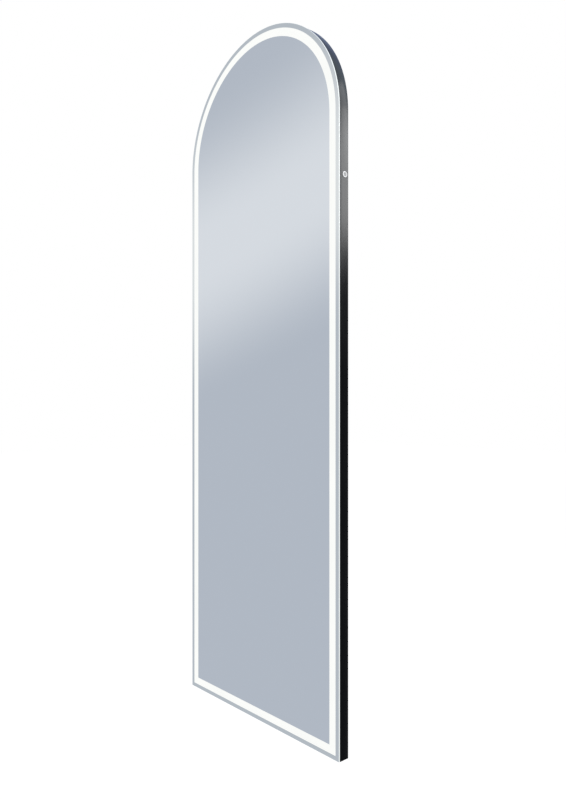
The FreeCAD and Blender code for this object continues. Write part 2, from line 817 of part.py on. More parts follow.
def driver_components():
    """Filter, capacitors, transformer and heat sink standing on the power unit's board."""
    columns = spaced(board_left + component_margin, board_right - component_margin, 4)
    height = board_front_y - component_front_y

    def upright(x, length, width):
        return block(
            x - length / 2, x + length / 2, component_front_y, board_front_y,
            electrics_z - width / 2, electrics_z + width / 2,
        )

    def capacitor(x, offset):
        return rod(capacitor_radius, Vector(x, board_front_y, electrics_z + offset), -BACK, height)

    return Part.makeCompound([
        upright(columns[0], filter_length, filter_width),
        capacitor(columns[1], capacitor_spread),
        capacitor(columns[1], -capacitor_spread),
        upright(columns[2], transformer_length, transformer_width),
        upright(columns[3], heat_sink_length, heat_sink_width),
    ])


def clamp_post_places():
    x = box_middle + clamp_from_middle
    return [(x, electrics_z + side * clamp_post_spacing / 2) for side in (-1, 1)]


def connection_box():
    """A plastic box on the inside of the back panel, open to the rear, with two posts for the cord clamp."""
    low = box_low_z
    top = box_low_z + box_width
    front = box_floor_y - box_wall
    inside = block(box_left, box_right, box_floor_y, panel_front_y, low, top)
    outside = block(
        box_left - box_wall, box_right + box_wall, front, panel_front_y, low - box_wall, top + box_wall
    )
    rim = box_wall + box_flange
    flange = block(
        box_left - rim, box_right + rim, panel_front_y - box_wall, panel_front_y, low - rim, top + rim
    )
    box = fused([outside, flange]).cut(inside)
    posts = [rod(clamp_post_radius, Vector(x, box_floor_y, z), BACK, clamp_post_height)
             for x, z in clamp_post_places()]
    box = fused([box] + posts)
    post_top = box_floor_y + clamp_post_height
    cuts = holes_at(clamp_post_places(), screw_hole_radius, box_floor_y, post_top)
    cuts += holes_at(cover_screw_places(), screw_hole_radius, panel_front_y - box_wall, panel_front_y)
    mains_hole = Vector(box_right, mains_link_y, electrics_z)
    pad_hole = Vector(pad_terminal_x, demister_lead_y, low - box_wall)
    cuts.append(rod(mains_link_radius + lead_hole_gap, mains_hole, RIGHT, box_wall))
    cuts.append(rod(demister_lead_radius + lead_hole_gap, pad_hole, UP, box_wall))
    return box.cut(cuts)


def access_cover():
    top = box_low_z + box_width
    cover = block(
        box_left - cover_margin, box_right + cover_margin, panel_rear_y, cover_rear_y,
        box_low_z - cover_margin, top + cover_margin,
    )
    grommet = Vector(box_middle + grommet_from_middle, panel_rear_y, electrics_z)
    cuts = holes_at(cover_screw_places(), screw_hole_radius, panel_rear_y, cover_rear_y)
    cuts.append(rod(grommet_hole_radius, grommet, BACK, cover_thickness))
    return cover.cut(cuts)


def cable_grommet():
    """A rubber ring in the cover, with a lip on both faces and the cord's bore through it."""
    x = box_middle + grommet_from_middle
    front = panel_rear_y - grommet_lip
    length = cover_thickness + 2 * grommet_lip
    waist = rod(grommet_hole_radius, Vector(x, front, electrics_z), BACK, length)
    inner_lip = rod(grommet_radius, Vector(x, front, electrics_z), BACK, grommet_lip)
    outer_lip = rod(grommet_radius, Vector(x, cover_rear_y, electrics_z), BACK, grommet_lip)
    bore = rod(grommet_bore_radius, Vector(x, front, electrics_z), BACK, length)
    return fused([waist, inner_lip, outer_lip]).cut(bore)


def terminal_screw_places():
    middle = box_middle + terminal_from_middle
    columns = (middle - terminal_pitch, middle, middle + terminal_pitch)
    return [(x, electrics_z + side * terminal_row_offset) for side in (-1, 1) for x in columns]


def terminal_block():
    x = box_middle + terminal_from_middle
    rear = box_floor_y + terminal_height
    half = terminal_length / 2
    depth = terminal_width / 2
    body = block(x - half, x + half, box_floor_y, rear, electrics_z - depth, electrics_z + depth)
    wells = holes_at(
        terminal_screw_places(), terminal_screw_radius + screw_gap, rear - terminal_screw_depth, rear
    )
    port_y = box_floor_y + (terminal_height - terminal_screw_depth) / 2
    for offset in (-terminal_pitch, 0, terminal_pitch):
        start = Vector(x + offset, port_y, electrics_z - depth)
        wells.append(rod(terminal_port_radius, start, UP, terminal_width))
    return body.cut(wells)


def terminal_screws():
    seat = box_floor_y + terminal_height - terminal_screw_depth
    screw = rod(terminal_screw_radius, Vector(), BACK, terminal_screw_height)
    half = screw_recess_width / 2
    low = terminal_screw_height - screw_recess_depth
    driver_slot = block(
        -terminal_screw_radius, terminal_screw_radius, low, terminal_screw_height, -half, half
    )
    return at_places(screw.cut(driver_slot), terminal_screw_places(), seat)


def cord_clamp():
    x = box_middle + clamp_from_middle
    front = box_floor_y + clamp_post_height
    half = clamp_width / 2
    reach = clamp_post_spacing / 2 + half
    bar = block(
        x - half, x + half, front, front + clamp_thickness, electrics_z - reach, electrics_z + reach
    )
    corners = [edge for edge in bar.Edges if edge.BoundBox.YLength > clamp_thickness / 2]
    bar = bar.makeFillet(clamp_corner, corners)
    return bar.cut(holes_at(clamp_post_places(), screw_hole_radius, front, front + clamp_thickness))


def demister_pad():
    half = half_width - pad_side_gap
    return block(-half, half, glass_back_y, pad_rear_y, pad_top_z - pad_height, pad_top_z)


def demister_terminal():
    half = pad_terminal_length / 2
    low = pad_terminal_top_z - pad_terminal_width
    body = block(
        pad_terminal_x - half, pad_terminal_x + half, pad_rear_y, pad_rear_y + pad_terminal_height,
        low, pad_terminal_top_z,
    )
    socket = Vector(pad_terminal_x, pad_lead_y, pad_terminal_top_z - lead_in)
    return body.cut(rod(demister_lead_radius + lead_hole_gap, socket, UP, lead_in))


def led_lead():
    end_x = driver_right - lead_in
    return lead("led_lead", [
        Vector(led_lead_x, channel_floor_y, led_lead_z),
        Vector(led_lead_x, led_lead_y, led_lead_z),
        Vector(end_x, led_lead_y, led_lead_z),
    ], led_lead_radius)


def button_lead():
    start_x = half_width - neck_depth
    end_x = driver_right - lead_in
    span = start_x - end_x
    return lead("button_lead", [
        Vector(start_x, button_lead_y, button_z),
        Vector(start_x - span / 4, button_lead_y, button_z),
        Vector(start_x - span / 2, button_lead_y, button_lead_z),
        Vector(end_x, button_lead_y, button_lead_z),
    ], button_lead_radius)


def mains_link():
    """The supply from the connection box to the power unit, with a slack bow between them."""
    right = driver_left + driver_wall + lead_in
    left = box_right - lead_in
    bow = mains_link_y - mains_link_radius
    third = (right - left) / 3
    return lead("mains_link", [
        Vector(right, mains_link_y, electrics_z),
        Vector(right - third, mains_link_y, electrics_z),
        Vector((right + left) / 2, bow, electrics_z - mains_link_radius),
        Vector(left + third, mains_link_y, electrics_z),
        Vector(left, mains_link_y, electrics_z),
    ], mains_link_radius)


def demister_lead():
    top = box_low_z + lead_in
    low = pad_terminal_top_z - lead_in
    third = (top - low) / 3
    x = pad_terminal_x
    return lead("demister_lead", [
        Vector(x, demister_lead_y, top),
        Vector(x, demister_lead_y, top - third),
        Vector(x, pad_lead_y, low + third),
        Vector(x, pad_lead_y, low),
    ], demister_lead_radius)


def lead_clip(bore, middle, direction):
    """A saddle on the back panel round a straight run of lead."""
    half = bore + clip_wall
    length = clip_length / 2
    across = direction.cross(BACK)
    low = middle - direction * length - across * half
    high = middle + direction * length + across * half
    front = middle.y - half
    body = block(
        min(low.x, high.x), max(low.x, high.x), front, panel_front_y,
        min(low.z, high.z), max(low.z, high.z),
    )
    return body.cut(rod(bore, middle - direction * length, direction, clip_length))


def lead_clips():
    x = driver_right + clip_gap
    led_middle = Vector(x, led_lead_y, led_lead_z)
    button_middle = Vector(x, button_lead_y, button_lead_z)
    pad_z = box_low_z - box_wall - box_flange - clip_length / 2
    pad_middle = Vector(pad_terminal_x, demister_lead_y, pad_z)
    return Part.makeCompound([
        lead_clip(led_lead_radius + lead_hole_gap, led_middle, RIGHT),
        lead_clip(button_lead_radius + lead_hole_gap, button_middle, RIGHT),
        lead_clip(demister_lead_radius + lead_hole_gap, pad_middle, UP),
    ])


def button_point(depth):
    """A point on the button's axis, at a depth from the frame's outer face."""
    return Vector(half_width - depth, button_y, button_z)


def button_rod(radius, depth_start, depth_end):
    return rod(radius, button_point(depth_end), RIGHT, depth_end - depth_start)


def button_light_ring():
    """A clear moulding: a ring outside the frame and a threaded neck through it."""
    flange = button_rod(ring_radius, ring_face, -gasket_thickness)
    flange = rounded_end(flange, RIGHT, half_width - ring_face, edge_break)
    neck = button_rod(neck_radius, -gasket_thickness, neck_depth)
    body = fused([flange, neck])
    bore = button_rod(cap_bore, ring_face, cap_lip_depth)
    return body.cut([bore, button_rod(lip_bore, cap_lip_depth, neck_depth)])


def button_gasket():
    outer = button_rod(ring_radius - gasket_margin, -gasket_thickness, 0)
    return outer.cut(button_rod(neck_radius + neck_hole_gap, -gasket_thickness, 0))


def button_nut():
    nut = button_rod(nut_radius, frame_wall, frame_wall + nut_thickness)
    nut = nut.cut(button_rod(nut_bore, frame_wall, frame_wall + nut_thickness))
    centre = button_point(frame_wall + nut_thickness)
    half = nut_notch / 2
    deep = centre.x + nut_notch
    reach = nut_radius + nut_notch
    return nut.cut([
        block(centre.x, deep, centre.y - reach, centre.y + reach, centre.z - half, centre.z + half),
        block(centre.x, deep, centre.y - half, centre.y + half, centre.z - reach, centre.z + reach),
    ])


def button_cap():
    face = ring_face - cap_proud
    disc = button_rod(cap_radius, face, cap_lip_depth)
    disc = rounded_end(disc, RIGHT, half_width - face, edge_break)
    lip = button_rod(cap_radius + cap_lip, cap_lip_depth, cap_back)
    stem = button_rod(stem_radius, cap_back, stem_end)
    cap = fused([disc, lip, stem])
    ball_radius = (cap_dish_radius ** 2 + cap_dish_depth ** 2) / (2 * cap_dish_depth)
    ball_middle = button_point(face + cap_dish_depth - ball_radius)
    return cap.cut(Part.makeSphere(ball_radius, ball_middle))


def button_switch():
    base = button_point(button_board_face)
    half = switch_size / 2
    body_top = button_point(switch_top)
    body = block(
        base.x, body_top.x, base.y - half, base.y + half, base.z - half, base.z + half
    )
    plunger = button_rod(switch_plunger_radius, plunger_top, switch_top)
    return fused([body, plunger])


def button_board():
    return button_rod(lip_bore - board_gap, button_board_face, neck_depth)


def biarc(start, way_in, end, way_out):
    """Two arcs that join two points and keep the direction at both."""
    chord = end - start
    ways = way_in + way_out
    spread = 2 * (1 - way_in.dot(way_out))
    along = chord.dot(ways)
    reach = (math.sqrt(along ** 2 + spread * chord.dot(chord)) - along) / spread
    first = start + way_in * reach
    second = end - way_out * reach
    joint = (first + second) / 2

    def arc(a, b, corner):
        half_chord = (b - a) / 2
        middle = a + half_chord
        lean = (corner - middle)
        turn = half_chord.getAngle(corner - a)
        rise = half_chord.Length * math.tan(turn / 2)
        return Part.Arc(a, middle + lean.normalize() * rise, b).toShape()

    return [arc(start, joint, first), arc(joint, end, second)]


def button_spring():
    """A coil between the cap's lip and the button's board."""
    reach = spring_wire_radius + spring_end_gap
    low = cap_back + reach
    high = button_board_face - reach
    quarters = 4 * spring_turns
    slope = (high - low) / (2 * math.pi * spring_turns)

    def place(index):
        angle = index * math.pi / 2
        centre = button_point(low + slope * angle)
        point = centre + Vector(0, spring_radius * math.cos(angle), spring_radius * math.sin(angle))
        way = Vector(-slope, -spring_radius * math.sin(angle), spring_radius * math.cos(angle))
        return point, way.normalize()

    edges = []
    for index in range(quarters):
        start, way_in = place(index)
        end, way_out = place(index + 1)
        edges += biarc(start, way_in, end, way_out)
    start, way_in = place(0)
    circle = Part.Wire(Part.makeCircle(spring_wire_radius, start, way_in))
    coil = Part.Wire(edges).makePipeShell([circle], True, False)
    gap = (high - low) / spring_turns - 2 * spring_wire_radius
    print("button_spring gap between turns", round(gap, 2))
    return coil


ring = frame_ring()
mitre = mitre_block()
key_right, screws_right = corner_key(1)
key_left, screws_left = corner_key(-1)
led_tape_y = channel_floor_y - led_tape_thickness
sheet_grip = panel_thickness + brace_thickness
brace_rivet_list = brace_rivet_places(upper_brace_z) + brace_rivet_places(lower_brace_z)
clamp_seat_y = box_floor_y + clamp_post_height + clamp_thickness
connector = connector_space(connector_length, channel_floor_y - connector_height, channel_floor_y)

nodes = {
    "mirror_glass": mirror_glass(),
    "glass_tape": glass_tape(),
    "side_frame": ring.cut(mitre),
    "bottom_rail": ring.common(mitre),
    "corner_key_left": key_left,
    "corner_key_right": key_right,
    "corner_set_screws": Part.makeCompound(screws_left + screws_right),
    "diffuser": diffuser(),
    "led_channel": led_channel(),
    "led_tape": led_strip(led_tape_width, led_tape_y, channel_floor_y),
    "led_line": led_strip(led_line_width, led_tape_y - led_line_thickness, led_tape_y),
    "led_connector": connector,
    "channel_brackets": channel_brackets(),
    "back_panel": back_panel(),
    "panel_screws": at_places(pan_screw(screw_length), panel_screw_places, panel_rear_y),
    "wall_bumpers": wall_bumpers(),
    "hanging_tray": hanging_tray(),
    "tray_rivets": at_places(
        blind_rivet(panel_thickness + tray_wall), tray_rivet_places(), panel_rear_y
    ),
    "mirror_rail": mirror_rail(),
    "mirror_rail_rivets": at_places(
        blind_rivet(rail_thickness + tray_wall), rail_rivet_places(), tray_floor_y + rail_thickness
    ),
    "wall_rail": wall_rail(),
    "upper_brace": brace(upper_brace_z),
    "lower_brace": brace(lower_brace_z),
    "brace_rivets": at_places(blind_rivet(sheet_grip), brace_rivet_list, panel_rear_y),
    "driver_case": driver_case(),
    "driver_lid": driver_lid(),
    "driver_board": driver_board(),
    "driver_components": driver_components(),
    "driver_screws": at_places(pan_screw(driver_screw_length), driver_screw_places(), panel_rear_y),
    "connection_box": connection_box(),
    "access_cover": access_cover(),
    "cover_screws": at_places(pan_screw(cover_screw_length), cover_screw_places(), cover_rear_y),
    "cable_grommet": cable_grommet(),
    "terminal_block": terminal_block(),
    "terminal_screws": terminal_screws(),
    "cord_clamp": cord_clamp(),
    "cord_clamp_screws": at_places(pan_screw(clamp_screw_length), clamp_post_places(), clamp_seat_y),
    "demister_pad": demister_pad(),
    "demister_terminal": demister_terminal(),
    "led_lead": led_lead(),
    "button_lead": button_lead(),
    "mains_link": mains_link(),
    "demister_lead": demister_lead(),
    "lead_clips": lead_clips(),
    "button_light_ring": button_light_ring(),
    "button_gasket": button_gasket(),
    "button_nut": button_nut(),
    "button_cap": button_cap(),
    "button_switch": button_switch(),
    "button_board": button_board(),
    "button_spring": button_spring(),
}

os.makedirs("parts", exist_ok=True)
for name, shape in nodes.items():
    shape.exportStep("parts/" + name + ".step")
    print(name, len(shape.Solids), shape.isValid(), round(shape.Volume, 2))
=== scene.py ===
import json
import math

import bmesh
import bpy
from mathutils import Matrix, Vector


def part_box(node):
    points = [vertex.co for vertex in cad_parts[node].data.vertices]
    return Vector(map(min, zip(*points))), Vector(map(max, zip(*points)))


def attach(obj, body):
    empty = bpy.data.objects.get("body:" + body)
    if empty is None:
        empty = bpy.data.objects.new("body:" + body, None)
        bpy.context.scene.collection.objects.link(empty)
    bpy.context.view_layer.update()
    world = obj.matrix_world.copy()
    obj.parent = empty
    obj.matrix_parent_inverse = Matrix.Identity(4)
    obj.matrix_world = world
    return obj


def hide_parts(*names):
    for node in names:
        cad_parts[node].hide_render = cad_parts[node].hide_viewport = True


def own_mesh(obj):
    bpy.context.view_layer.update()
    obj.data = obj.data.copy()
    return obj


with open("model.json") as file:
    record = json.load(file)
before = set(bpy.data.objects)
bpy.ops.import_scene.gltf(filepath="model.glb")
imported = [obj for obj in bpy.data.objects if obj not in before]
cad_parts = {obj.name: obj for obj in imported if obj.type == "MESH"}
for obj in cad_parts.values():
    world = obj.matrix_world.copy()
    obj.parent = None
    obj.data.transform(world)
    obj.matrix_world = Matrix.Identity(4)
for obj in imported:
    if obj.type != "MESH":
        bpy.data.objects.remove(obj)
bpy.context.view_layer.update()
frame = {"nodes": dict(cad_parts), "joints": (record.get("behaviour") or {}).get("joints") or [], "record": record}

paneLow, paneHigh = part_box("mirror_glass")
sideLow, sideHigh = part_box("side_frame")
ringLow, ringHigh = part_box("button_light_ring")
capLow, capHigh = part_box("button_cap")
springLow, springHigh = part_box("button_spring")
halfWidth = (paneHigh.x - paneLow.x) / 2
bottomZ = paneLow.z
archZ = paneHigh.z - halfWidth  # where the straight sides meet the arch
straight = archZ - bottomZ
buttonY = (capLow.y + capHigh.y) / 2
buttonZ = (capLow.z + capHigh.z) / 2

near = 1e-5  # metres: points closer than this are the same
doubled = 1e-6  # metres: points closer than this are merged
edgeOn, faceOn, squareOn = 0.1, 0.9, 0.99  # how much of a normal is along an axis
axisX, axisY, axisZ = range(3)
quarterTurn = math.pi / 2

calmDetail, plainDetail, richDetail = 1.0, 2.0, 3.0  # how broken up a noise is
noiseCore, noiseSpan = (0.35, 0.65), (0.3, 0.7)  # where most, and nearly all, of its values lie
rising, falling = (0.0, 1.0), (1.0, 0.0)
evenShare = 0.5
evenRun = (1.0, 1.0, 1.0)  # a pattern that is alike along every axis
uprightRun, sidewaysRun = (1.0, 1.0, 0.05), (0.05, 1.0, 1.0)  # grain drawn out along Z, or along X


class Wire:  # a node's output, which can stand in a sum
    def __init__(self, recipe, socket):
        self.recipe = recipe
        self.socket = socket

    def also(self, output):  # another output of the same node
        return Wire(self.recipe, self.socket.node.outputs[output])

    def reckon(self, operation, first, second):
        return self.recipe.add("ShaderNodeMath", {"operation": operation}, {0: first, 1: second})

    def __add__(self, other):
        return self.reckon("ADD", self, other)

    def __radd__(self, other):
        return self.reckon("ADD", other, self)

    def __mul__(self, other):
        return self.reckon("MULTIPLY", self, other)

    def __rmul__(self, other):
        return self.reckon("MULTIPLY", other, self)


class Recipe:  # the nodes of one finish, or of the world
    def __init__(self, owner):
        owner.use_nodes = True
        self.owner = owner
        self.tree = owner.node_tree
        self.tree.nodes.clear()

    def add(self, kind, settings, sockets, output=0):
        node = self.tree.nodes.new(kind)
        for name, value in settings.items():
            setattr(node, name, value)
        for name, value in sockets.items():
            if isinstance(value, Wire):
                self.tree.links.new(value.socket, node.inputs[name])
            else:
                node.inputs[name].default_value = value
        return Wire(self, node.outputs[output]) if node.outputs else node

    def spot(self, stretch=evenRun):
        place = self.add("ShaderNodeTexCoord", {}, {}, "Object")
        return self.add("ShaderNodeMapping", {}, {"Vector": place, "Scale": stretch})

    def noise(self, scale, detail=plainDetail, stretch=evenRun):
        sockets = {"Vector": self.spot(stretch), "Scale": scale, "Detail": detail}
        return self.add("ShaderNodeTexNoise", {}, sockets)

    def cells(self, scale, randomness, output):
        sockets = {"Vector": self.spot(), "Scale": scale, "Randomness": randomness}
        return self.add("ShaderNodeTexVoronoi", {"feature": "F1"}, sockets, output)

    def spread(self, value, span, reach=rising, kind="SMOOTHSTEP"):
        sockets = {"Value": value, "From Min": span[0], "From Max": span[1],
                   "To Min": reach[0], "To Max": reach[1]}
        return self.add("ShaderNodeMapRange", {"interpolation_type": kind}, sockets)

    def weigh(self, share, first, second):
        return share * first + (1 - share) * second

    def mix(self, share, first, second):  # by number, because the node has sockets of the same name
        return self.add("ShaderNodeMix", {"data_type": "RGBA"}, {0: share, 6: first, 7: second}, 2)

    def bump(self, height, depth, strength=1.0):
        return self.add("ShaderNodeBump", {}, {"Height": height, "Distance": depth, "Strength": strength})

    def surface(self, sockets):
        shader = self.add("ShaderNodeBsdfPrincipled", {}, sockets)
        self.add("ShaderNodeOutputMaterial", {}, {"Surface": shader})
        return self.owner


def tone(red, green, blue):
    return (red, green, blue, 1.0)


def newFinish(name):
    return Recipe(bpy.data.materials.new(name))


def metalFinish(name, look):  # patches of two tones, a grain that can run one way, uneven gloss
    nodes = newFinish(name)
    patch = nodes.noise(look["patch"], richDetail)
    grain = nodes.noise(look["grain"], plainDetail, look["run"])
    return nodes.surface({
        "Base Color": nodes.mix(nodes.spread(patch, noiseCore), look["dark"], look["light"]),
        "Roughness": nodes.spread(nodes.weigh(evenShare, patch, grain), noiseSpan, look["rough"]),
        "Metallic": 1.0, "Normal": nodes.bump(grain, look["depth"]),
    })


def mouldedFinish(name, look):  # fine moulded texture with slightly uneven colour
    nodes = newFinish(name)
    patch = nodes.noise(look["patch"], richDetail)
    grain = nodes.noise(look["grain"], richDetail)
    return nodes.surface({
        "Base Color": nodes.mix(nodes.spread(patch, noiseCore), look["dark"], look["light"]),
        "Roughness": nodes.spread(grain, noiseSpan, look["rough"]),
        "Normal": nodes.bump(grain, look["depth"]),
    })


silverLook = {
    "light": tone(0.86, 0.88, 0.90), "dark": tone(0.85, 0.872, 0.892),
    "drift": 3.0, "haze": 40.0, "rough": (0.012, 0.03),
}
rimLook = {
    "light": tone(0.89, 0.905, 0.885), "dark": tone(0.88, 0.895, 0.875),
    "drift": 3.0, "haze": 40.0, "rough": (0.012, 0.03),
}


def silveredGlass(name, look):  # mirror, with a trace of unevenness
    nodes = newFinish(name)
    drift = nodes.noise(look["drift"], calmDetail)
    haze = nodes.noise(look["haze"])
    return nodes.surface({
        "Base Color": nodes.mix(drift, look["light"], look["dark"]), "Metallic": 1.0,
        "Roughness": nodes.spread(haze, noiseSpan, look["rough"]),
    })


frost = {"grit": 2200.0, "drift": 9.0, "driftShare": 0.7, "rough": (0.4, 0.6), "depth": 0.00002}
bandLook = {
    "base": tone(0.30, 0.305, 0.30), "baseLight": tone(0.34, 0.345, 0.34),
    "glow": tone(0.955, 0.965, 0.94), "glowLight": tone(0.985, 0.99, 0.965), "strength": 0.80,
}
ringLook = {
    "base": tone(0.55, 0.56, 0.57), "baseLight": tone(0.62, 0.63, 0.64),
    "glow": tone(0.94, 0.96, 0.98), "glowLight": tone(1.0, 1.0, 1.0), "strength": 0.60,
}
opalLook = {
    "base": tone(0.80, 0.81, 0.80), "baseLight": tone(0.86, 0.87, 0.86),
    "glow": tone(0.95, 0.96, 0.94), "glowLight": tone(1.0, 1.0, 0.98), "strength": 0.5,
}


def frostedLight(name, look):  # blasted glass, or opal plastic, with light behind it
    nodes = newFinish(name)
    grit = nodes.noise(frost["grit"])
    drift = nodes.noise(frost["drift"])
    share = nodes.spread(nodes.weigh(frost["driftShare"], drift, grit), noiseCore)
    return nodes.surface({
        "Base Color": nodes.mix(grit, look["base"], look["baseLight"]),
        "Emission Color": nodes.mix(share, look["glow"], look["glowLight"]),
        "Emission Strength": look["strength"],
        "Roughness": nodes.spread(grit, noiseSpan, frost["rough"]),
        "Normal": nodes.bump(grit, frost["depth"]),
    })


# painted light: the edge's lighter colour and its glow towards the front face stand for the band's light in the
# glass
edgeLook = {
    "base": tone(0.35, 0.40, 0.40), "baseLight": tone(0.70, 0.75, 0.75),
    "glow": tone(0.60, 0.66, 0.66), "glowLight": tone(0.95, 0.98, 0.98), "strength": 0.62,
    "brightTo": 0.0016, "ripple": 120.0, "rough": (0.12, 0.28),  # brightTo is metres behind the face
}


def glassEdge(name, look):  # polished edge: the band's light, leaking out most near the face, is painted into its colour and glow
    nodes = newFinish(name)
    ripple = nodes.noise(look["ripple"])
    depth = nodes.add("ShaderNodeSeparateXYZ", {}, {"Vector": nodes.spot()}, "Y")
    # painted light: the share of lighter colour and glow, greatest at the front face
    leak = nodes.spread(depth, (paneLow.y + look["brightTo"], paneHigh.y), falling)
    return nodes.surface({
        "Base Color": nodes.mix(leak, look["base"], look["baseLight"]),
        "Emission Color": nodes.mix(leak, look["glow"], look["glowLight"]),
        "Emission Strength": look["strength"],
        "Roughness": nodes.spread(ripple, noiseSpan, look["rough"]),
    })


blackLook = {
    "dark": tone(0.0034, 0.0037, 0.0044), "light": tone(0.0050, 0.0054, 0.0062), "drift": 7.0,
    "grain": 1400.0, "run": (1.0, 1.0, 0.03), "pores": 2600.0, "grainShare": 0.5,
    "driftShare": 0.6, "rough": (0.17, 0.23), "specular": 0.62, "depth": 0.000012, "strength": 0.6,
}


def satinBlack(name, look):  # black anodised aluminium with a fine grain along its length
    nodes = newFinish(name)
    grain = nodes.noise(look["grain"], richDetail, look["run"])
    pores = nodes.noise(look["pores"])
    drift = nodes.noise(look["drift"])
    texture = nodes.weigh(look["grainShare"], grain, pores)
    return nodes.surface({
        "Base Color": nodes.mix(drift, look["dark"], look["light"]),
        "Roughness": nodes.spread(nodes.weigh(look["driftShare"], drift, grain), noiseSpan, look["rough"]),
        "Specular IOR Level": look["specular"],
        "Normal": nodes.bump(texture, look["depth"], look["strength"]),
    })


zincLook = {
    "dark": tone(0.50, 0.52, 0.54), "light": tone(0.61, 0.63, 0.645), "metal": 0.6,
    "flakes": 80.0, "veil": 6.0, "flakeShare": 0.6, "shades": (0.1, 0.9), "rough": (0.40, 0.54),
    "fine": 900.0, "depth": 0.00002, "strength": 0.5,
}


def spangledZinc(name, look):  # hot-dipped sheet: crystal flakes of different gloss
    nodes = newFinish(name)
    flake = nodes.add("ShaderNodeSeparateColor", {}, {"Color": nodes.cells(look["flakes"], 1.0, "Color")})
    veil = nodes.noise(look["veil"], richDetail)
    fine = nodes.noise(look["fine"])
    shade = nodes.spread(nodes.weigh(look["flakeShare"], flake, veil), look["shades"], rising, "LINEAR")
    return nodes.surface({
        "Base Color": nodes.mix(shade, look["dark"], look["light"]), "Metallic": look["metal"],
        "Roughness": nodes.spread(flake, rising, look["rough"], "LINEAR"),
        "Normal": nodes.bump(fine, look["depth"], look["strength"]),
    })


filmLook = {
    "film": tone(0.55, 0.33, 0.12), "foil": tone(0.62, 0.60, 0.56), "metal": (0.0, 0.85),
    "tracks": 30.0, "trackEdge": (0.4, 0.6), "fine": 500.0, "rough": 0.28, "roughMore": 0.1,
}


def heatingFilm(name, look):  # printed foil tracks under a clear film
    nodes = newFinish(name)
    rows = nodes.add("ShaderNodeTexWave", {"bands_direction": "Z"}, {
        "Vector": nodes.spot(), "Scale": look["tracks"], "Distortion": 0.0})
    track = nodes.spread(rows, look["trackEdge"])
    return nodes.surface({
        "Base Color": nodes.mix(track, look["film"], look["foil"]),
        "Metallic": nodes.spread(track, rising, look["metal"]),
        "Roughness": look["rough"] + look["roughMore"] * nodes.noise(look["fine"]),
    })


dotLook = {
    "tape": tone(0.80, 0.80, 0.78), "phosphor": tone(0.85, 0.66, 0.18),
    "tapeGlow": tone(0.15, 0.15, 0.14), "dotGlow": tone(1.0, 0.97, 0.9),
    "dots": 180.0, "dotEdge": (0.25, 0.45), "rough": 0.4,
}


def lightDots(name, look):  # row of phosphor dots on the light tape
    nodes = newFinish(name)
    dot = nodes.spread(nodes.cells(look["dots"], 0.0, "Distance"), look["dotEdge"], falling)
    return nodes.surface({
        "Base Color": nodes.mix(dot, look["tape"], look["phosphor"]),
        "Emission Color": nodes.mix(dot, look["tapeGlow"], look["dotGlow"]),
        "Emission Strength": 1.0, "Roughness": look["rough"],
    })


silver = silveredGlass("silver", silverLook)
silverRim = silveredGlass("silverRim", rimLook)
bandLight = frostedLight("bandLight", bandLook)
polishedEdge = glassEdge("polishedEdge", edgeLook)
frameBlack = satinBlack("frameBlack", blackLook)
ringLight = frostedLight("ringLight", ringLook)

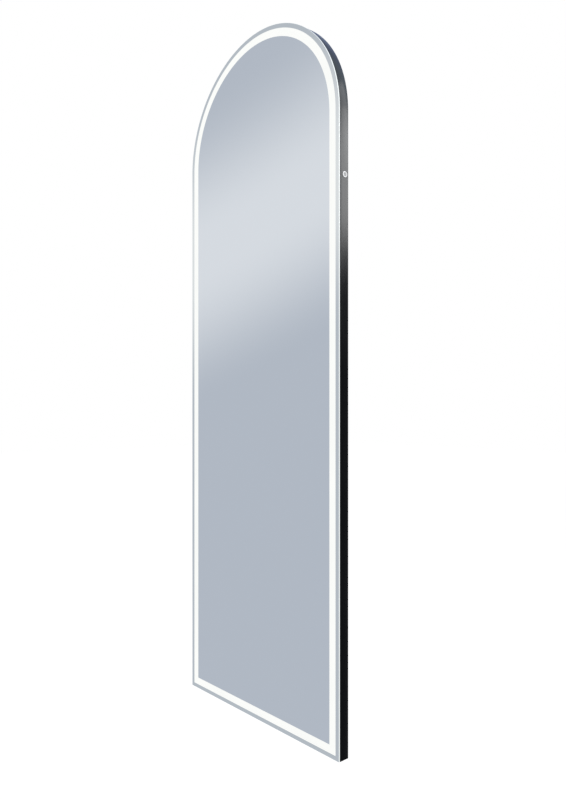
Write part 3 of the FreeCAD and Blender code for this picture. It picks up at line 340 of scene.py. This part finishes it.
finishes = {  # by the record's material slots
    "mirror_glass": silver,
    "frame_black": frameBlack,
    "bond_tape": mouldedFinish("bondTape", {
        "patch": 60.0, "grain": 1500.0, "rough": (0.75, 0.95), "depth": 0.00006,
        "dark": tone(0.030, 0.030, 0.033), "light": tone(0.055, 0.055, 0.060)}),
    "bare_aluminium": metalFinish("bareAluminium", {
        "patch": 12.0, "grain": 900.0, "run": uprightRun, "rough": (0.28, 0.42), "depth": 0.00001,
        "dark": tone(0.68, 0.69, 0.70), "light": tone(0.78, 0.79, 0.80)}),
    "opal_diffuser": frostedLight("opalDiffuser", opalLook),
    "led_tape": mouldedFinish("lightTape", {
        "patch": 90.0, "grain": 1800.0, "rough": (0.4, 0.55), "depth": 0.00001,
        "dark": tone(0.78, 0.78, 0.76), "light": tone(0.86, 0.86, 0.84)}),
    "led_phosphor": lightDots("lightDots", dotLook),
    "zinc_sheet": spangledZinc("spangledZinc", zincLook),
    "zinc_steel": metalFinish("zincSteel", {
        "patch": 25.0, "grain": 700.0, "run": sidewaysRun, "rough": (0.26, 0.40), "depth": 0.00002,
        "dark": tone(0.55, 0.57, 0.60), "light": tone(0.66, 0.68, 0.71)}),
    "screw_steel": metalFinish("screwSteel", {
        "patch": 300.0, "grain": 2500.0, "run": evenRun, "rough": (0.20, 0.34), "depth": 0.00001,
        "dark": tone(0.58, 0.58, 0.60), "light": tone(0.70, 0.70, 0.72)}),
    "rivet_aluminium": metalFinish("rivetAluminium", {
        "patch": 300.0, "grain": 2500.0, "run": evenRun, "rough": (0.30, 0.44), "depth": 0.00001,
        "dark": tone(0.66, 0.67, 0.68), "light": tone(0.76, 0.77, 0.78)}),
    "black_rubber": mouldedFinish("blackRubber", {
        "patch": 140.0, "grain": 1600.0, "rough": (0.62, 0.82), "depth": 0.00005,
        "dark": tone(0.014, 0.014, 0.015), "light": tone(0.026, 0.026, 0.027)}),
    "white_plastic": mouldedFinish("whitePlastic", {
        "patch": 50.0, "grain": 1500.0, "rough": (0.42, 0.58), "depth": 0.00003,
        "dark": tone(0.76, 0.76, 0.75), "light": tone(0.83, 0.83, 0.82)}),
    "board_green": mouldedFinish("boardGreen", {
        "patch": 220.0, "grain": 1200.0, "rough": (0.32, 0.48), "depth": 0.00002,
        "dark": tone(0.010, 0.085, 0.040), "light": tone(0.018, 0.130, 0.060)}),
    "dark_component": mouldedFinish("darkComponent", {
        "patch": 120.0, "grain": 1500.0, "rough": (0.38, 0.52), "depth": 0.00002,
        "dark": tone(0.020, 0.021, 0.024), "light": tone(0.036, 0.037, 0.041)}),
    "terminal_brass": metalFinish("terminalBrass", {
        "patch": 200.0, "grain": 1800.0, "run": evenRun, "rough": (0.24, 0.36), "depth": 0.00001,
        "dark": tone(0.72, 0.52, 0.24), "light": tone(0.82, 0.62, 0.31)}),
    "black_plastic": mouldedFinish("blackPlastic", {
        "patch": 80.0, "grain": 1500.0, "rough": (0.40, 0.56), "depth": 0.00003,
        "dark": tone(0.016, 0.016, 0.018), "light": tone(0.028, 0.028, 0.031)}),
    "heating_film": heatingFilm("heatingFilm", filmLook),
    "lead_white": mouldedFinish("leadWhite", {
        "patch": 160.0, "grain": 1800.0, "rough": (0.38, 0.50), "depth": 0.00001,
        "dark": tone(0.74, 0.74, 0.72), "light": tone(0.82, 0.82, 0.80)}),
    "lead_black": mouldedFinish("leadBlack", {
        "patch": 160.0, "grain": 1800.0, "rough": (0.38, 0.50), "depth": 0.00001,
        "dark": tone(0.016, 0.016, 0.017), "light": tone(0.026, 0.026, 0.027)}),
    "light_ring": ringLight,
    "button_grey": mouldedFinish("buttonGrey", {
        "patch": 200.0, "grain": 2600.0, "rough": (0.28, 0.40), "depth": 0.000004,
        "dark": tone(0.53, 0.54, 0.55), "light": tone(0.59, 0.60, 0.61)}),
}
for subpart in frame["record"]["subparts"]:
    for slot in frame["nodes"][subpart["node"]].material_slots:
        slot.material = finishes[subpart["material_slot"]]
print("finishes given:", len(finishes))


def freshStart():
    if bpy.context.mode != "OBJECT":
        bpy.ops.object.mode_set(mode="OBJECT")
    bpy.ops.object.select_all(action="DESELECT")


def choose(piece):  # selects this object alone
    freshStart()
    piece.select_set(True)
    bpy.context.view_layer.objects.active = piece


def settle(piece, turn=(0, 0, 0), place=(0, 0, 0), size=(1, 1, 1)):  # its place goes into its mesh
    piece.rotation_euler = turn
    piece.location = place
    piece.scale = size
    bpy.ops.object.transform_apply(location=True, rotation=True, scale=True)
    bpy.ops.object.mode_set(mode="EDIT")


def startPiece(name, **placing):  # the active object becomes a piece
    piece = bpy.context.active_object
    piece.name = name
    piece.data.name = name
    settle(piece, **placing)
    return piece


def pick(kind, test):  # selects what passes the test, in edit mode
    bpy.ops.mesh.select_mode(type=kind)
    bpy.ops.mesh.select_all(action="DESELECT")
    mesh = bpy.context.edit_object.data
    shape = bmesh.from_edit_mesh(mesh)
    shape.normal_update()
    parts = {"VERT": shape.verts, "EDGE": shape.edges, "FACE": shape.faces}[kind]
    for part in parts:
        part.select_set(bool(test(part)))
    shape.select_flush_mode()
    bmesh.update_edit_mesh(mesh)


def pickAll():
    bpy.ops.mesh.select_all(action="SELECT")


def within(part, axis, low, high):  # all of an edge or face is between two values of an axis
    return all(low - near < corner.co[axis] < high + near for corner in part.verts)


def lies(part, axis, value):  # all of an edge or face is at this value of an axis
    return within(part, axis, value, value)


def push(x, y, z):
    bpy.ops.mesh.extrude_region_move(TRANSFORM_OT_translate={"value": (x, y, z)})


def tidyShell():
    pickAll()
    bpy.ops.mesh.remove_doubles(threshold=doubled)
    bpy.ops.mesh.normals_make_consistent(inside=False)


def coat(piece, *coats):
    freshStart()
    for finish in coats:
        piece.data.materials.append(finish)


def finishPiece(piece, body, replaced, angle):
    choose(piece)
    bpy.ops.object.shade_smooth_by_angle(angle=math.radians(angle))
    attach(piece, body)
    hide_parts(*replaced)
    print("piece:", piece.name, len(piece.data.polygons), "faces")


pane = {  # metres; rim and band are the widths of the silvered rim and the frosted band
    "rim": 0.011, "band": 0.020, "frost": 0.0002, "frontArris": 0.0003, "backArris": 0.0001,
    "arrisSteps": 2, "arcPoints": 384, "smooth": 10,
}
paneZones = {
    "mirror": silver, "rim": silverRim, "edge": polishedEdge,
    "back": finishes["bond_tape"],  # painted black
}


def insetOf(point):  # how far a point is inside the outline
    if point.z > archZ:
        return halfWidth - math.hypot(point.x, point.z - archZ)
    return min(halfWidth - abs(point.x), point.z - bottomZ)


def zoneOf(face):
    inset = insetOf(face.center)
    if face.normal.y > faceOn:
        return "back"
    if face.normal.y > -squareOn and inset < pane["rim"] / 2:
        return "edge"
    if inset < pane["rim"] + pane["band"]:
        return "rim"
    return "mirror"


def inBand(face):
    inset = insetOf(face.calc_center_median())
    return face.normal.y < -squareOn and 0 < inset - pane["rim"] < pane["band"]


def onOutline(edge):
    return any(abs(face.normal.y) < edgeOn for face in edge.link_faces)


def buildPane():
    front, back = paneLow.y, paneHigh.y
    freshStart()
    bpy.ops.mesh.primitive_circle_add(vertices=pane["arcPoints"], radius=halfWidth, fill_type="NOTHING")
    piece = startPiece("mirrorPane", turn=(quarterTurn, 0, 0), place=(0, front, archZ))
    pick("VERT", lambda v: v.co.z < archZ - near)
    bpy.ops.mesh.delete(type="VERT")
    pick("VERT", lambda v: abs(v.co.z - archZ) < near)
    push(0, 0, -straight)
    pick("VERT", lambda v: abs(v.co.z - bottomZ) < near)
    bpy.ops.mesh.edge_face_add()
    pickAll()
    bpy.ops.mesh.edge_face_add()
    bpy.ops.mesh.inset(thickness=pane["rim"])
    bpy.ops.mesh.inset(thickness=pane["band"])
    pickAll()
    push(0, back - front, 0)
    tidyShell()
    for level, arris in ((front, pane["frontArris"]), (back, pane["backArris"])):  # both edges are eased
        pick("EDGE", lambda e: lies(e, axisY, level) and onOutline(e))
        bpy.ops.mesh.bevel(offset=arris, segments=pane["arrisSteps"], affect="EDGES")
    tidyShell()
    pick("FACE", inBand)
    push(0, pane["frost"], 0)  # a shallow bed, which the frosted band fills
    bpy.ops.mesh.duplicate()
    bpy.ops.mesh.separate(type="SELECTED")
    bandSheet = next(thing for thing in bpy.context.selected_objects if thing != piece)
    coat(piece, *paneZones.values())
    zones = list(paneZones)
    for face in piece.data.polygons:
        face.material_index = zones.index(zoneOf(face))
    finishPiece(piece, "mirror", ["mirror_glass"], pane["smooth"])
    return bandSheet


def buildBand(sheet):
    choose(sheet)
    piece = startPiece("frostedBand")
    pickAll()
    push(0, -pane["frost"], 0)
    tidyShell()
    coat(piece, bandLight)
    finishPiece(piece, "mirror", ["mirror_glass"], pane["smooth"])


buildBand(buildPane())

section = {  # the frame's cross-section: seat and shelf reach in from its outer face
    "wall": 0.0016, "seat": 0.009, "shelf": 0.012, "shelfIn": 0.003, "edge": 0.0004,
    "lip": 0.0006, "lipRise": 0.0007, "lipEdge": 0.0001,  # hides the edge of the bonding tape
    "edgeSteps": 3, "flat": 1, "arcSteps": 192, "mitreGap": 0.00003, "smooth": 20,
}
buttonHole = {"radius": 0.0062, "points": 64, "depth": 0.01}


def drawSection(name, turn, place):  # outline of the section, its outer face on the given place
    front, rear = sideLow.y + section["lipRise"], sideHigh.y
    wall, lip = section["wall"], section["lip"]
    shelfRear = rear - section["shelfIn"]
    shelfFront = shelfRear - wall
    freshStart()
    bpy.ops.mesh.primitive_plane_add(size=1)
    piece = startPiece(name, place=(-wall / 2, (front + rear) / 2, 0), size=(wall, rear - front, 1))
    for level in (front + wall, shelfFront, shelfRear):
        pickAll()
        bpy.ops.mesh.bisect(plane_co=(0, level, 0), plane_no=(0, 1, 0))
    pickAll()
    bpy.ops.mesh.bisect(plane_co=(-lip, 0, 0), plane_no=(1, 0, 0))
    flanges = ((front, front + wall, section["seat"]), (shelfFront, shelfRear, section["shelf"]))
    for low, high, reach in flanges:
        pick("EDGE", lambda e: lies(e, axisX, -wall) and within(e, axisY, low, high))
        push(wall - reach, 0, 0)
    pick("EDGE", lambda e: lies(e, axisY, front) and within(e, axisX, -lip, 0))
    push(0, -section["lipRise"], 0)
    pickAll()
    bpy.ops.mesh.dissolve_limited(angle_limit=math.radians(section["flat"]))
    for level, offset in ((sideLow.y, section["lipEdge"]), (rear, section["edge"])):
        pick("VERT", lambda v: abs(v.co.x) < near and abs(v.co.y - level) < near)
        bpy.ops.mesh.bevel(offset=offset, segments=section["edgeSteps"], affect="VERTICES")
    pickAll()
    bpy.ops.mesh.delete(type="ONLY_FACE")
    choose(piece)
    settle(piece, turn, place)
    return piece


def cutMitre(test, side, gap, keepsAbove):  # a corner's cut, at 45 degrees
    pick("FACE", test)
    bpy.ops.mesh.bisect(plane_co=(side * halfWidth, 0, bottomZ + gap), plane_no=(side, 0, 1), use_fill=True,
                        clear_inner=keepsAbove, clear_outer=not keepsAbove)


def cutButtonHole(piece):
    freshStart()
    bpy.ops.mesh.primitive_cylinder_add(
        vertices=buttonHole["points"], radius=buttonHole["radius"], depth=buttonHole["depth"])
    cutter = startPiece("holeCutter", turn=(0, quarterTurn, 0), place=(halfWidth, buttonY, buttonZ))
    choose(piece)
    hole = piece.modifiers.new("buttonHole", "BOOLEAN")
    hole.operation = "DIFFERENCE"
    hole.object = cutter
    bpy.ops.object.modifier_apply(modifier=hole.name)
    bpy.data.objects.remove(cutter)


def buildSideFrame():
    piece = drawSection("sideFrame", (0, 0, 0), (halfWidth, 0, archZ))
    pick("EDGE", lambda e: True)
    push(0, 0, -straight)  # right leg
    pick("EDGE", lambda e: lies(e, axisZ, archZ))
    bpy.ops.mesh.spin(steps=section["arcSteps"], angle=math.pi, center=(0, 0, archZ), axis=(0, 1, 0))
    pick("EDGE", lambda e: lies(e, axisZ, archZ) and all(v.co.x < 0 for v in e.verts))
    push(0, 0, -straight)  # left leg
    for side in (1, -1):
        cutMitre(lambda f: side * f.calc_center_median().x > 0 and f.calc_center_median().z < archZ,
                 side, section["mitreGap"], True)
    tidyShell()
    cutButtonHole(piece)
    coat(piece, frameBlack)
    finishPiece(piece, "mirror", ["side_frame"], section["smooth"])


def buildBottomRail():
    piece = drawSection("bottomRail", (0, quarterTurn, 0), (-halfWidth, 0, bottomZ))
    pick("EDGE", lambda e: True)
    push(2 * halfWidth, 0, 0)
    for side in (1, -1):
        cutMitre(lambda f: True, side, -section["mitreGap"], False)
    tidyShell()
    coat(piece, frameBlack)
    finishPiece(piece, "mirror", ["bottom_rail"], section["smooth"])


buildSideFrame()
buildBottomRail()

button = {"points": 96, "lipDepth": 0.0010, "edgeSteps": 4, "smooth": 35}  # shared by ring and cap
ring = {  # metres: the gasket's thickness, then radii, then rounded edges
    "gasket": 0.0004, "neck": 0.0060, "bore": 0.00495, "lipBore": 0.00535,
    "edge": 0.0004, "boreEdge": 0.0004 / 3, "boreSteps": 2,
}
cap = {
    "radius": 0.0048, "edge": 0.0004, "lip": 0.0052, "lipThick": 0.0010, "stem": 0.0020,
    "dish": 0.0023, "dishDepth": 0.0002, "dishSteps": 5,  # a shallow dish for the fingertip
}


def roundBlank(name, radius, inner, outer):  # a disc on the button's axis
    freshStart()
    bpy.ops.mesh.primitive_cylinder_add(vertices=button["points"], radius=radius, depth=outer - inner)
    return startPiece(name, turn=(0, quarterTurn, 0), place=((inner + outer) / 2, buttonY, buttonZ))


def offAxis(point):
    return math.hypot(point.y - buttonY, point.z - buttonZ)


def endFace(x):  # the flat face at this X that crosses the axis
    pick("FACE", lambda f: lies(f, axisX, x) and offAxis(f.calc_center_median()) < near)


def drawIn(fromRadius, toRadius):
    bpy.ops.mesh.inset(thickness=fromRadius - toRadius)


def onCircle(edge, x, radius):  # part of the circle, and not a line that reaches it
    return lies(edge, axisX, x) and all(abs(offAxis(v.co) - radius) < 2 * near for v in edge.verts)


def roundEdges(x, radius, offset, steps):
    pick("EDGE", lambda e: onCircle(e, x, radius))
    bpy.ops.mesh.bevel(offset=offset, segments=steps, affect="EDGES")


def closesBore(face):  # one of the two round faces that close the ring's bore
    reach = max(offAxis(v.co) for v in face.verts)
    return len(face.verts) == button["points"] and reach < ring["bore"] + near


def buildRing():
    face, flange = ringHigh.x, halfWidth + ring["gasket"]
    radius = (ringHigh.z - ringLow.z) / 2
    shoulder = halfWidth - button["lipDepth"]
    piece = roundBlank("buttonRing", radius, flange, face)
    endFace(flange)
    drawIn(radius, ring["neck"])
    push(ringLow.x - flange, 0, 0)  # neck through the frame
    drawIn(ring["neck"], ring["lipBore"])
    push(shoulder - ringLow.x, 0, 0)
    drawIn(ring["lipBore"], ring["bore"])
    endFace(face)
    drawIn(radius, ring["bore"])
    pick("FACE", closesBore)
    bpy.ops.mesh.bridge_edge_loops()
    roundEdges(face, radius, ring["edge"], button["edgeSteps"])
    roundEdges(face, ring["bore"], ring["boreEdge"], ring["boreSteps"])
    tidyShell()
    coat(piece, ringLight)
    finishPiece(piece, "mirror", ["button_light_ring"], button["smooth"])


def dishAt(share):  # depth of the dish, at this share of the way to its middle
    return cap["dishDepth"] * (2 * share - share ** 2)


def buildCap():
    face = capHigh.x
    lipFront = halfWidth - button["lipDepth"]
    widen = cap["lip"] / cap["radius"]
    piece = roundBlank("buttonCap", cap["radius"], lipFront, face)
    endFace(lipFront)
    bpy.ops.mesh.extrude_region_move()
    bpy.ops.transform.resize(value=(1, widen, widen), center_override=(lipFront, buttonY, buttonZ))
    push(-cap["lipThick"], 0, 0)
    drawIn(cap["lip"], cap["stem"])
    push(capLow.x - (lipFront - cap["lipThick"]), 0, 0)
    endFace(face)
    drawIn(cap["radius"], cap["dish"])
    steps = cap["dishSteps"]
    for step in range(steps):
        bpy.ops.mesh.inset(thickness=cap["dish"] / (steps + 1))
        drop = dishAt((step + 1) / steps) - dishAt(step / steps)
        bpy.ops.transform.translate(value=(-drop, 0, 0))
    roundEdges(face, cap["radius"], cap["edge"], button["edgeSteps"])
    tidyShell()
    coat(piece, finishes["button_grey"])
    finishPiece(piece, "button", ["button_cap"], button["smooth"])


buildRing()
buildCap()

coil = {"wire": 0.0003, "turns": 3, "wirePoints": 12, "stepsPerTurn": 36, "smooth": 50}


def buildSpring():
    wire = coil["wire"]
    radius = (springHigh.z - springLow.z) / 2 - wire
    length = springHigh.x - springLow.x
    travel = next(j["range_m"][1] for j in frame["joints"] if j["name"] == "button_press")
    freshStart()
    bpy.ops.mesh.primitive_circle_add(vertices=coil["wirePoints"], radius=wire, fill_type="NOTHING")
    piece = startPiece("buttonSpring", place=(0, radius, 0))
    choose(piece)
    wind = piece.modifiers.new("wind", "SCREW")
    wind.axis = "X"
    wind.angle = 2 * math.pi
    wind.iterations = coil["turns"]
    wind.screw_offset = -(length - 2 * wire) / coil["turns"]
    wind.steps = coil["stepsPerTurn"]
    wind.render_steps = coil["stepsPerTurn"]
    bpy.ops.object.modifier_apply(modifier=wind.name)
    settle(piece, place=(springHigh.x - wire, buttonY, buttonZ))
    pickAll()
    bpy.ops.mesh.fill_holes(sides=coil["wirePoints"])  # the wire's two ends
    tidyShell()
    coat(piece, finishes["screw_steel"])
    finishPiece(piece, "mirror", ["button_spring"], coil["smooth"])
    1 - travel / length
    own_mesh(piece)


buildSpring()

studio = {
    "bandNormal": (-0.4706, 0.1974, 0.8600),  # across the light band that the mirror shows
    "rise": (0.280, 0.434), "fall": (0.467, 0.602),
    "turn": 0.75, "turnFrom": (-0.60, 0.10),  # brings the band round to the front and the right
    "grey": tone(0.508, 0.5475, 0.6115), "bright": tone(0.779, 0.802, 0.836),
    "dark": tone(0.048, 0.053, 0.062), "darkFrom": (0.22, 0.42), "darkBehind": (-0.25, 0.05),  # right rear
    "slate": tone(0.315, 0.39, 0.59), "haze": tone(0.61, 0.73, 0.86), "hazeFrom": (-0.10, 0.28),
    "behind": (-0.05, 0.15), "above": (0.10, 0.65),  # where the sky stands behind the mirror
    "white": tone(1.0, 1.0, 1.0), "soft": tone(0.70, 0.70, 0.70),
    "floorDrop": 0.48, "floorSize": 40.0, "floorTone": tone(0.45, 0.45, 0.45),
}


def buildWorld():
    world = bpy.data.worlds.new("studio")
    bpy.context.scene.world = world
    nodes = Recipe(world)
    way = nodes.add("ShaderNodeTexCoord", {}, {}, "Generated")
    east = nodes.add("ShaderNodeSeparateXYZ", {}, {"Vector": way}, "X")
    north, up = east.also("Y"), east.also("Z")
    across = nodes.add("ShaderNodeVectorMath", {"operation": "DOT_PRODUCT"},
                       {0: way, 1: studio["bandNormal"]}, "Value")
    across = across + nodes.spread(east, studio["turnFrom"], (0.0, studio["turn"]))
    band = nodes.spread(across, studio["rise"]) * nodes.spread(across, studio["fall"], falling)
    lit = nodes.mix(band, studio["grey"], studio["bright"])
    rightRear = nodes.spread(east, studio["darkFrom"]) * nodes.spread(north, studio["darkBehind"])
    low = nodes.mix(rightRear, lit, studio["dark"])
    sky = nodes.mix(nodes.spread(east, studio["hazeFrom"]), studio["slate"], studio["haze"])
    highRear = nodes.spread(north, studio["behind"]) * nodes.spread(up, studio["above"])
    path = nodes.add("ShaderNodeLightPath", {}, {}, "Is Camera Ray")
    room = nodes.add("ShaderNodeBackground", {}, {"Color": nodes.mix(highRear, low, sky)})
    soft = nodes.add("ShaderNodeBackground", {}, {"Color": studio["soft"]})
    white = nodes.add("ShaderNodeBackground", {}, {"Color": studio["white"]})
    seen = nodes.add("ShaderNodeMixShader", {}, {0: path.also("Is Glossy Ray"), 1: soft, 2: room})
    whole = nodes.add("ShaderNodeMixShader", {}, {0: path, 1: seen, 2: white})
    nodes.add("ShaderNodeOutputWorld", {}, {"Surface": whole})


def buildFloor():
    freshStart()
    bpy.ops.mesh.primitive_plane_add(size=studio["floorSize"])
    piece = startPiece("floor", place=(0, 0, bottomZ - studio["floorDrop"]))
    nodes = newFinish("paleFloor")
    path = nodes.add("ShaderNodeLightPath", {}, {}, "Is Camera Ray")
    under = nodes.add("ShaderNodeNewGeometry", {}, {}, "Backfacing")
    matt = nodes.add("ShaderNodeBsdfDiffuse", {}, {"Color": studio["floorTone"]})
    glow = nodes.add("ShaderNodeEmission", {}, {"Color": studio["soft"]})
    pale = nodes.add("ShaderNodeAddShader", {}, {0: matt, 1: glow})
    clear = nodes.add("ShaderNodeBsdfTransparent", {}, {})
    solid = nodes.add("ShaderNodeMixShader", {}, {0: path, 1: matt, 2: pale})
    unseen = path.also("Is Glossy Ray") + under  # in mirrors and from below
    whole = nodes.add("ShaderNodeMixShader", {}, {0: unseen, 1: solid, 2: clear})
    nodes.add("ShaderNodeOutputMaterial", {}, {"Surface": whole})
    coat(piece, nodes.owner)


lamps = {  # soft boxes, in metres and watts; size is across and up
    "softBoxRight": {
        "place": (2.424, 2.314, 0.95), "aim": (0.30, 0.0, 0.10), "size": (1.7, 0.84), "power": 14.5},
    "softBoxHigh": {
        "place": (2.441, 2.333, 2.009), "aim": (0.30, 0.0, 0.10), "size": (1.7, 1.38), "power": 9.9},
    "softBoxLeft": {
        "place": (-2.60, 1.90, 0.90), "aim": (0.0, 0.0, -0.40), "size": (1.4, 2.0), "power": 18.0},
}


def buildLamps():
    for name, lamp in lamps.items():
        freshStart()
        place, aim = Vector(lamp["place"]), Vector(lamp["aim"])
        bpy.ops.object.light_add(type="AREA", location=place)
        light = bpy.context.active_object
        light.name = name
        light.rotation_euler = (aim - place).to_track_quat("-Z", "Y").to_euler()
        light.data.shape = "RECTANGLE"
        light.data.size, light.data.size_y = lamp["size"]
        light.data.energy = lamp["power"]


viewPoint = {  # metres, degrees about Z, millimetres, shares of the picture
    "place": (1.4169, -1.2193, -0.6506), "turn": 50.090, "lens": 31.170, "shift": (0.0332, 0.0141),
}


def buildCamera():
    freshStart()
    turn = (quarterTurn, 0, math.radians(viewPoint["turn"]))
    bpy.ops.object.camera_add(location=viewPoint["place"], rotation=turn)
    camera = bpy.context.active_object
    camera.data.lens = viewPoint["lens"]
    camera.data.shift_x, camera.data.shift_y = viewPoint["shift"]
    bpy.context.scene.camera = camera
    bpy.context.scene.view_settings.view_transform = "Standard"


buildWorld()
buildFloor()
buildLamps()
buildCamera()
print("studio set")

freshStart()
